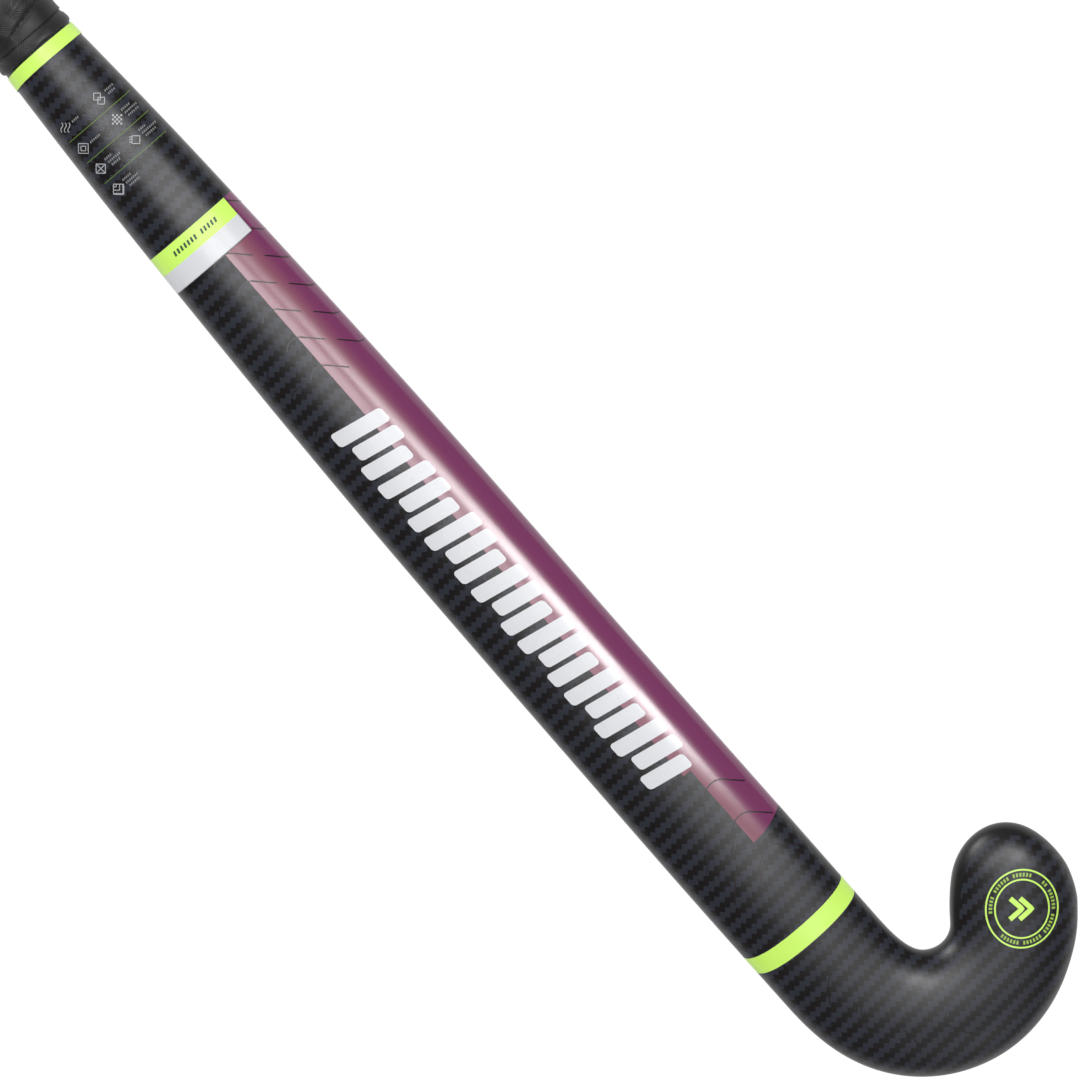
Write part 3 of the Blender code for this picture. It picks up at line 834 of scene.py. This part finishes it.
def make_title_plate():
    """Neon and silver plates with a row of plain blocks where the maker's note would be."""
    plates = (
        ("title_plate_neon", NEON, "neon", PLATE_TOP, PLATE_SPLIT, "title_film_neon"),
        ("title_plate_silver", SILVER, "silver", PLATE_SPLIT, PLATE_LOW, "title_film_silver"),
    )
    for name, ink, slot, high, low, film in plates:
        grid = []
        for k in range(PLATE_ROWS + 1):
            distance = high + (low - high) * k / PLATE_ROWS
            reach = flank(distance)
            last = math.acos(PLATE_SIDE / reach)
            turns = [math.pi + (last - math.pi) * j / PLATE_LANES for j in range(PLATE_LANES + 1)]
            grid.append([(distance, reach * math.cos(turn)) for turn in turns])
        lay_print(name, [grid], ink, 2, [film])
    heel = -station(PLATE_TOP)[0] * 0.985
    edge = [(PLATE_TOP + 0.0002, heel), (PLATE_TOP + 0.0002, PLATE_SIDE)]
    lay_print("title_plate_edge", [stroke(edge, EDGE_WIDTH)], EDGE)
    rim = [(PLATE_SPLIT, PLATE_SIDE), (PLATE_LOW, PLATE_SIDE), (PLATE_LOW, heel)]
    lay_print("title_plate_rim", [stroke(rim, 0.0003)], NOTE_PALE, 3)
    middle = 0.5 * (PLATE_TOP + PLATE_SPLIT)
    blocks = []
    for k in range(13):
        if k != TITLE_GAP:
            blocks.append(slanted_block(middle, TITLE_START + TITLE_PITCH * k, *TITLE_BLOCK))
    lay_print("title_note_blocks", blocks, NOTE_DARK, 4)


def slanted_block(middle, start, width, height):
    """Small upright block of a note whose rows run across the shaft."""
    lean = SLANT * height
    low = middle - 0.5 * height
    high = middle + 0.5 * height
    stop = start + width
    return quad_grid(((low, start - lean), (high, start), (high, stop), (low, stop - lean)))


MARK_HIGH = 0.3615
MARK_LOW = 0.1720
MARK_SIDES_HIGH = (-0.0122, 0.0100)  # offsets of the mark's two sides at its high end
MARK_SIDES_LOW = (-0.0087, 0.0132)
MARK_GROUPS = 7
MARK_BARS = ((0.0, 1.0), (0.12, 1.0), (0.0, 0.88))  # share of the height that each bar covers
MARK_GROUP_GAP = 0.0010
MARK_BAR_WIDTH = 0.0066
MARK_ROUND = 0.0016


def mark_spot(distance, share):
    """Place in the mark's slanted frame, share 0 to 1 from heel side to toe side."""
    along = (MARK_HIGH - distance) / (MARK_HIGH - MARK_LOW)
    low = MARK_SIDES_HIGH[0] + (MARK_SIDES_LOW[0] - MARK_SIDES_HIGH[0]) * along
    high = MARK_SIDES_HIGH[1] + (MARK_SIDES_LOW[1] - MARK_SIDES_HIGH[1]) * along
    side = low + (high - low) * share
    return (distance - SLANT * (side - low), side)


def rounded_bar(high, start, stop):
    """Grid of one bar with rounded corners, from the heel side to the toe side."""
    length = (stop - start) * (MARK_SIDES_HIGH[1] - MARK_SIDES_HIGH[0])
    ends = [MARK_ROUND * (1 - math.cos(t)) for t in quarter_turns(6)]
    even = length - 2 * MARK_ROUND
    lanes = math.ceil(even / LANE)
    spots = ends + [MARK_ROUND + even * k / lanes for k in range(1, lanes)]
    spots += [length - end for end in reversed(ends)]
    grid = []
    for spot in spots:
        inward = max(MARK_ROUND - min(spot, length - spot), 0.0)
        inset = MARK_ROUND - math.sqrt(MARK_ROUND ** 2 - inward ** 2)
        share = start + (stop - start) * spot / length
        near = high - inset
        far = high - MARK_BAR_WIDTH + inset
        grid.append([mark_spot(near + (far - near) * k / 3, share) for k in range(4)])
    return grid


def make_main_mark():
    """Seven groups of slanted speed bars, in place of any lettering."""
    pitch = (MARK_HIGH - MARK_LOW) / MARK_GROUPS
    bar_pitch = (pitch - MARK_GROUP_GAP) / len(MARK_BARS)
    for group in range(MARK_GROUPS):
        grids = []
        for k, (start, stop) in enumerate(MARK_BARS):
            high = MARK_HIGH - pitch * group - bar_pitch * k
            grids.append(rounded_bar(high, start, stop))
        replaced = ["main_mark_film"] if group == 0 else []
        lay_print(f"speed_bars_{group + 1}", grids, SILVER, 4, replaced)


WAVE_PITCH = 0.01432
WAVE_FIRST = 0.4690
WAVE_SIDE = -0.0028
WAVE_ROWS = 7
WAVE_RADIUS = 0.0051
WAVE_LINE = 0.00052
WAVE_GREY_LINE = 0.00045
WAVE_FAINT_LINE = 0.0004
# The part of a wave that runs on to the flank, drawn on the cloth's own axes.
WAVE_TAIL = (
    (0.0194, -0.0010), (0.0235, -0.0014), (0.0275, -0.0019), (0.0290, -0.0017), (0.0306, -0.0006),
)
# Groups of bent waves: distance of the first one, pitch, offset and count, then the
# rise, the bend's radius and its turn in degrees, and the length that runs on.
DARK_WAVES = (
    (0.1513, 0.0170, -0.0012, 3, 0.0102, 0.0070, 90, 0.0090),
    (0.1354, 0.0168, -0.0135, 2, 0.0100, 0.0066, 62, 0.0),
)
FAINT_WAVES = (
    (WAVE_FIRST - 3.3 * WAVE_PITCH, WAVE_PITCH, -0.0165, 5, 0.0040, 0.0048, 80, 0.0),
    (0.0640, 0.0165, -0.0120, 4, 0.0085, 0.0060, 80, 0.0),
)


def make_wave_lines():
    """Fine wave lines across the panel and the cloth beside it."""
    grey = []
    dark = []
    for row in range(WAVE_ROWS):
        start = (WAVE_FIRST - WAVE_PITCH * row, WAVE_SIDE)
        if row >= 2:
            bend = [(0.0, -0.0007)]
            for turn in quarter_turns(10):
                rise = WAVE_RADIUS * math.sin(turn)
                bend.append((WAVE_RADIUS * (1 - math.cos(turn)), rise))
            path = [drawn(start, right, up) for right, up in bend]
            path = [spot for spot in path if spot[0] < PLATE_LOW - 0.0003]
            grey.append(stroke(path, WAVE_GREY_LINE))
            run = [(WAVE_RADIUS + 0.0008 * k, WAVE_RADIUS - 0.00007 * k) for k in range(13)]
            dark.append(stroke([drawn(start, right, up) for right, up in run], WAVE_LINE))
        if row < WAVE_ROWS - 1:
            path = [drawn(start, right, WAVE_RADIUS + up) for right, up in WAVE_TAIL]
            first_side = PLATE_SIDE + 0.0003 if row < 2 else 0.0
            path = [(a, min(b, flank(a) * 0.998)) for a, b in path if b > first_side]
            dark.append(stroke(path, WAVE_LINE))
    dark += wave_group(DARK_WAVES, WAVE_LINE)
    lay_print("wave_lines_grey", grey, LINE_GREY, 2)
    lay_print("wave_lines_dark", dark, LINE_DARK, 2)


def make_faint_waves():
    """Lines of gloss lacquer on the cloth, hardly darker than it."""
    grids = wave_group(FAINT_WAVES, WAVE_FAINT_LINE)
    lay_print("wave_lines_faint", grids, LINE_FAINT)


def wave_group(groups, width):
    """Grids of bent waves, one below the other."""
    grids = []
    for first, pitch, side, count, rise, radius, turn, run in groups:
        for row in range(count):
            path = wave_path((first - pitch * row, side), rise, radius, turn, run)
            grids.append(stroke(path, width))
    return grids


def wave_path(start, rise, radius, turn, run):
    """Line that climbs, turns right on an arc and runs on."""
    path = [(0.0, 0.0), (0.0, rise)]
    path += [(radius - x, rise + y) for x, y in arc_points((0, 0), radius, 0, turn)][1:]
    if run:
        path.append((radius + run, rise + radius - 0.0010))
    return [drawn(start, right, up) for right, up in path]


NOTE_ROWS = (0.5184, 0.5078, 0.4975, 0.4870)
NOTE_COLUMNS = (-0.0115, 0.0058)
NOTE_LINE = 0.00034
NOTE_DIVIDERS = (0.5130, 0.5025, 0.4921)
NOTE_SIDES = (-0.0143, 0.0170)
CAPTION_SIDE = 0.0036  # start of a caption, from the middle of its pictogram
CAPTION_ROW = 0.00165
CAPTION_PITCH = 0.00088
CAPTION_SHIFT = 0.0004  # how much later each row starts
CAPTION_BLOCK = (0.00050, 0.00088)


def square(centre, half, middle=(0.0, 0.0)):
    """Corners of a square drawn on the cloth's own axes."""
    corners = ((-half, -half), (half, -half), (half, half), (-half, half))
    return [drawn(centre, middle[0] + x, middle[1] + y) for x, y in corners]


def square_line(centre, half, middle=(0.0, 0.0)):
    return stroke(square(centre, half, middle), NOTE_LINE, closed=True)


def note_line(centre, points):
    return stroke([drawn(centre, x, y) for x, y in points], NOTE_LINE)


def icon_frames(centre):
    """Two overlapping squares."""
    return [square_line(centre, 0.0013, (shift, -shift)) for shift in (-0.0008, 0.0008)]


def icon_checks(centre):
    """Thirteen small squares in a checker."""
    grids = []
    for k in range(0, 25, 2):
        middle = ((k % 5 - 2) * 0.0008, (k // 5 - 2) * 0.0008)
        grids.append(quad_grid(square(centre, 0.00037, middle)))
    return grids


def icon_comb(centre):
    """Open square with three teeth on one side."""
    grids = [square_line(centre, 0.0015, (0.0005, 0.0))]
    for k in (-1, 0, 1):
        grids.append(note_line(centre, [(-0.0021, 0.0010 * k), (-0.0010, 0.0010 * k)]))
    return grids


def icon_waves(centre):
    """Three upright ripples."""
    grids = []
    for k in (-1, 0, 1):
        path = []
        for j in range(13):
            up = 0.0019 - 0.0038 * j / 12
            path.append((0.0014 * k + 0.0004 * math.sin(2 * math.pi * j / 12), up))
        grids.append(note_line(centre, path))
    return grids


def icon_target(centre):
    """Square inside a square."""
    return [square_line(centre, 0.0019), square_line(centre, 0.0009)]


def icon_cross(centre):
    """Square crossed corner to corner."""
    half = 0.0018
    grids = [square_line(centre, half)]
    for side in (-1, 1):
        grids.append(note_line(centre, [(-half, -half * side), (half, half * side)]))
    return grids


def icon_steps(centre):
    """Three nested corners in a square."""
    grids = []
    half = 0.0019
    for k in range(3):
        size = 0.0010 + 0.0013 * k
        corner = [(-half, half - size), (-half + size, half - size), (-half + size, half)]
        grids.append(note_line(centre, corner))
    grids.append(square_line(centre, 0.0020))
    return grids


def note_rows(centre, start, words):
    """Rows of small plain blocks in place of a caption."""
    grids = []
    for row, count in enumerate(words):
        middle = centre[0] + CAPTION_ROW * (0.5 * (len(words) - 1) - row)
        for k in range(count):
            begin = start + CAPTION_PITCH * k + CAPTION_SHIFT * row
            grids.append(slanted_block(middle, begin, *CAPTION_BLOCK))
    return grids


def make_feature_notes():
    """Pictograms with captions of plain blocks, and green lines between them."""
    icons = (
        (0, 1, icon_frames, (5, 4)),
        (1, 1, icon_checks, (5, 7, 6)),
        (2, 1, icon_comb, (4, 8, 6)),
        (0, 0, icon_waves, (4,)),
        (1, 0, icon_target, (6,)),
        (2, 0, icon_cross, (4, 7, 5)),
        (3, 0, icon_steps, (5, 7, 6)),
    )
    marks = []
    captions = []
    for row, column, draw, words in icons:
        centre = (NOTE_ROWS[row], NOTE_COLUMNS[column])
        marks += draw(centre)
        captions += note_rows(centre, centre[1] + CAPTION_SIDE, words)
    lay_print("feature_icons", marks, NOTE_PALE, 0, ["feature_note_film"])
    lay_print("feature_captions", captions, NOTE_SOFT)
    lines = []
    for distance in NOTE_DIVIDERS:
        lines.append(stroke([(distance, side) for side in NOTE_SIDES], 0.00030))
    lay_print("feature_dividers", lines, NOTE_GREEN)


BADGE_CENTRE = (LENGTH - 0.0421, 0.0712)
BADGE_RADIUS = 0.0156
BADGE_INNER = 0.0117
BADGE_NARROW = 0.92  # the badge is a little narrower than it is high
BADGE_LINE = 0.00066
BADGE_ARCS = ((76, 19), (-128, 30))  # first angle in degrees and number of blocks
BADGE_PITCH = 6.1
BADGE_BLOCK = (3.6, 0.0015)
BADGE_WORD = 7  # every seventh block is left out
CHEVRON_SHIFTS = (-0.0026, 0.0016)
CHEVRON_TIP = 0.0026
CHEVRON_HALF = 0.0042
CHEVRON_WIDTH = 0.0020


def make_badge():
    """Two neon rings on the toe with plain blocks between them and a double chevron."""
    rings = []
    shadows = []
    for radius in (BADGE_RADIUS, BADGE_INNER):
        circle = [badge_spot(x, y) for x, y in arc_points((0.0, 0.0), radius, 0, 360, 96)[:-1]]
        rings.append(stroke(circle, BADGE_LINE, closed=True))
        shadows.append(stroke(circle, 2 * BADGE_LINE, closed=True))
    lay_print("badge_ring_edges", shadows, EDGE, surface=on_head)
    lay_print("badge_rings", rings, NEON, 3, ["head_badge_film"], on_head)
    blocks = []
    for start, count in BADGE_ARCS:
        for k in range(count):
            if k % BADGE_WORD != BADGE_WORD - 1:
                blocks.append(ring_block(start + BADGE_PITCH * k, *BADGE_BLOCK))
    lay_print("badge_blocks", blocks, NEON_DIM, 3, surface=on_head)
    chevrons = []
    for shift in CHEVRON_SHIFTS:
        back = shift - CHEVRON_TIP
        path = [(back, CHEVRON_HALF), (shift + CHEVRON_TIP, 0.0), (back, -CHEVRON_HALF)]
        chevrons.append(stroke([badge_spot(x, y) for x, y in path], CHEVRON_WIDTH))
    lay_print("badge_chevrons", chevrons, NEON, 3, surface=on_head)


def badge_spot(x, y):
    """Plan position of a point drawn upright on the badge."""
    x *= BADGE_NARROW
    right = x * CLOTH_COS - y * CLOTH_SIN
    up = x * CLOTH_SIN + y * CLOTH_COS
    return (BADGE_CENTRE[0] + right, BADGE_CENTRE[1] + up)


def ring_block(turn, width, height):
    """Small block between the badge's rings, angles in degrees."""
    middle = 0.5 * (BADGE_RADIUS + BADGE_INNER)
    corners = []
    for r, t in ((-0.5, -0.5), (0.5, -0.5), (0.5, 0.5), (-0.5, 0.5)):
        angle = math.radians(turn + t * width)
        reach = middle + r * height
        corners.append(badge_spot(reach * math.cos(angle), reach * math.sin(angle)))
    return quad_grid(corners)


# ---- Handle -------------------------------------------------------------
STRIP_PITCH = 0.0300
GRIP_POINTS = 144
GRIP_ROWS = 440
GRIP_SINK = 0.0004  # the strip's mean surface under the grip's outline
OVERLAP_RISE = 0.0008
SEAM_DEPTH = 0.0007
RIDGE_RISE = 0.0006
PAD_RISE = 0.00045
END_ROWS = 5.0  # rows over which the strip thins out at its ends
END_DROP = 0.0006
STRIP_LEAST = 0.0003


def bump_shape(value, centre, width):
    """Smooth hump of height one."""
    part = (value - centre) / width
    return math.exp(-part * part)


def grip_relief(distance, angle):
    """Height of the wound strip over the grip's mean surface."""
    turn = angle / (2 * math.pi)
    phase = ((LENGTH - distance) / STRIP_PITCH - turn) % 1.0
    overlap = OVERLAP_RISE * (phase ** 1.5) * (1.0 - bump_shape(phase, 1.0, 0.035))
    groove = -SEAM_DEPTH * (bump_shape(phase, 0.0, 0.030) + bump_shape(phase, 1.0, 0.030))
    ridge = RIDGE_RISE * bump_shape(phase, 0.80, 0.055)
    pads = math.cos(2 * math.pi * (3.0 * turn + 1.4 * phase))
    pad = PAD_RISE * min(max(2.2 * pads, -1.0), 1.0) * bump_shape(phase, 0.40, 0.24)
    return overlap + groove + ridge + pad


def lining_grow(distance):
    """How far the tape under the strip stands out from the bare shaft."""
    return 0.0008 + 0.0017 * min(max((distance - 0.560) / 0.040, 0.0), 1.0)


def grown_point(s, grow, j):
    """One point of a section grown by its own amount."""
    section = station(LENGTH - s)
    across = (section[0] + grow) * math.cos(2 * math.pi * j / GRIP_POINTS)
    height = section_height(section, abs(across), j <= GRIP_POINTS // 2, grow)
    return place(s, across, height)


def grown_row(form, s, grow):
    """Vertices round a section grown evenly."""
    return [form.verts.new(grown_point(s, grow, j)) for j in range(GRIP_POINTS)]


def make_grip():
    """Wound cushioned strip with an overlap, a raised seam and embossed pads."""
    form = bmesh.new()
    low = GRIP_END + COLLAR + 0.0002
    rows = []
    for k in range(GRIP_ROWS + 1):
        distance = GRIP_TOP + (low - GRIP_TOP) * k / GRIP_ROWS
        base = GRIP_HALF - GRIP_SINK - station(distance)[0]
        least = lining_grow(distance) + STRIP_LEAST
        fade = min(min(k, GRIP_ROWS - k) / END_ROWS, 1.0)
        row = []
        for j in range(GRIP_POINTS):
            relief = grip_relief(distance, 2 * math.pi * j / GRIP_POINTS)
            grow = base + fade * relief - (1.0 - fade) * END_DROP
            row.append(form.verts.new(grown_point(LENGTH - distance, max(grow, least), j)))
        rows.append(row)
    for distance in (low, GRIP_TOP):
        rows.append(grown_row(form, LENGTH - distance, lining_grow(distance) + 0.0001))
    skin_loop(form, rows)
    finish_piece("grip_strip", form, GRIP, ["grip_wrap"])


LIP_HALF = 0.0163
LIP_DEPTH = 0.0016  # of the rolled edge, along the stick
LIP_RISE = 0.0009
LIP_BACK = COLLAR + 0.0010
LIP_BOTTOM = -0.0020


def make_grip_lip():
    """Rolled lip at the grip's lower end."""
    form = bmesh.new()
    profile = [(0.0, -0.0004)]
    for turn in quarter_turns(8):
        profile.append((0.0003 + LIP_DEPTH * (1 - math.cos(turn)), LIP_RISE * math.sin(turn)))
    profile += [(0.0042, 0.0006), (0.0052, 0.0001)]
    profile += [(LIP_BACK, -0.0003), (LIP_BACK, LIP_BOTTOM), (0.0, LIP_BOTTOM)]
    rows = []
    for along, rise in profile:
        distance = GRIP_END + along
        grow = max(LIP_HALF - station(distance)[0] + rise, 0.0001)
        rows.append(grown_row(form, LENGTH - distance, grow))
    skin_loop(form, rows)
    finish_piece("grip_lip", form, GRIP, ["grip_collar"])


CAP_RIM = 0.0026  # radius of the cap's rounded rim
CAP_GROOVE = 0.0005
# Share of the way out from the middle, and depth, of the dished end.
CAP_DISH = ((0.86, 0.0), (0.82, 0.0004), (0.45, 0.0006), (0.40, 0.0002), (0.30, 0.0002))


def make_butt_cap():
    """Rubber cap with a rounded rim, a ring groove and a shallow dished end."""
    form = bmesh.new()
    base = GRIP_HALF - station(LENGTH)[0]
    profile = []
    for turn in reversed(quarter_turns(8)):
        profile.append((CAP_RIM * (1 - math.sin(turn)), base - CAP_RIM * (1 - math.cos(turn))))
    profile += [(0.0032, base), (0.0035, base - CAP_GROOVE), (0.0038, base)]
    profile += [(CAP_THICK, base), (CAP_THICK, -0.0030)]
    rows = [grown_row(form, s, grow) for s, grow in profile]
    for first, second in zip(rows, rows[1:]):
        skin(form, first, second)
    widest = station(LENGTH)[2]
    cap(form, rows[-1], place(CAP_THICK, 0.0, widest))
    previous = rows[0]
    middle = place(0.0, 0.0, widest)
    for share, depth in CAP_DISH:
        row = []
        for vert in rows[0]:
            spot = middle.lerp(vert.co, share)
            row.append(form.verts.new((ORIGIN.x + depth, spot.y, spot.z)))
        skin(form, previous, row)
        previous = row
    cap(form, previous, (ORIGIN.x + CAP_DISH[-1][1], middle.y, middle.z))
    finish_piece("butt_cap", form, RUBBER, ["end_cap"])


# ---- Studio -------------------------------------------------------------
CAMERA_AIM = Vector((0.18765, -0.01311, 0.02881))
CAMERA_BACK = Vector((-0.08107, 0.03189, 0.99620))
CAMERA_DISTANCE = 3.4
CAMERA_TURN = math.radians(49.17)
CAMERA_LENS = 290.63


def make_camera():
    """Camera at the photograph's viewing angle."""
    data = bpy.data.cameras.new("camera")
    data.lens = CAMERA_LENS
    data.sensor_width = 36.0
    camera = bpy.data.objects.new("camera", data)
    back = CAMERA_BACK.normalized()
    right = Vector((math.cos(CAMERA_TURN), math.sin(CAMERA_TURN), 0.0))
    right = (right - back * right.dot(back)).normalized()
    up = back.cross(right)
    turn = Matrix((right, up, back)).transposed().to_4x4()
    camera.matrix_world = Matrix.Translation(CAMERA_AIM + back * CAMERA_DISTANCE) @ turn
    SCENE.collection.objects.link(camera)
    bpy.context.scene.camera = camera


LIGHT_AIM = Vector((0.15, BUTT.y, 0.03))
LIGHT_WATTS = 4.0  # for one unit of radiance, by square metre
# Name, place, the two widths, and the radiance in units of the white floor.
SOFT_BOXES = (
    ("key", (-0.05, 0.13, 4.5), (1.60, 0.85), 7.3),
    ("streak", (0.82, 1.84, 4.5), (0.84, 1.15), 22.0),
    ("head_glow", (1.95, 0.30, 4.5), (0.75, 0.75), 9.0),
    ("fill_handle", (-3.6, -0.3, 2.6), (1.6, 2.4), 8.0),
    ("fill_head", (4.2, -0.6, 2.6), (1.6, 2.4), 1.0),
)
FLOOR_RADIUS = 40.0
FLOOR_GAP = 0.0005
FLOOR_GLOW = 1.02
SURROUNDINGS = 0.11


def soft_box(name, spot, widths, radiance):
    """Rectangular light that faces the stick."""
    data = bpy.data.lights.new(name, "AREA")
    data.shape = "RECTANGLE"
    data.size, data.size_y = widths
    data.energy = radiance * LIGHT_WATTS * widths[0] * widths[1]
    light = bpy.data.objects.new(name, data)
    light.location = spot
    light.rotation_mode = "QUATERNION"
    light.rotation_quaternion = (LIGHT_AIM - light.location).to_track_quat("-Z", "Y")
    SCENE.collection.objects.link(light)


def make_studio():
    """White floor that glows evenly, dim surroundings, and soft boxes overhead."""
    form = bmesh.new()
    bmesh.ops.create_circle(form, cap_ends=True, segments=96, radius=FLOOR_RADIUS)
    mesh = bpy.data.meshes.new("floor")
    form.to_mesh(mesh)
    form.free()
    look = Look("floor_white", 0.9)
    look.colour(BLACK)
    look.shader.inputs["Specular IOR Level"].default_value = 0.0
    look.shader.inputs["Emission Color"].default_value = WHITE
    look.shader.inputs["Emission Strength"].default_value = FLOOR_GLOW
    mesh.materials.append(look.material)
    floor = bpy.data.objects.new("floor", mesh)
    floor.location.z = min(CAD_LOW[2], 0.0) - FLOOR_GAP
    SCENE.collection.objects.link(floor)
    world = bpy.data.worlds.new("studio")
    SCENE.world = world
    world.use_nodes = True
    sky = world.node_tree.nodes["Background"]
    sky.inputs["Color"].default_value = WHITE
    sky.inputs["Strength"].default_value = SURROUNDINGS
    for box in SOFT_BOXES:
        soft_box(*box)


make_camera()
make_stick_body()
make_bands()
make_panel()
make_title_plate()
make_main_mark()
make_wave_lines()
make_faint_waves()
make_feature_notes()
make_badge()
make_grip()
make_grip_lip()
make_butt_cap()
dress_inner_nodes()
make_studio()
SCENE.view_settings.view_transform = "Standard"
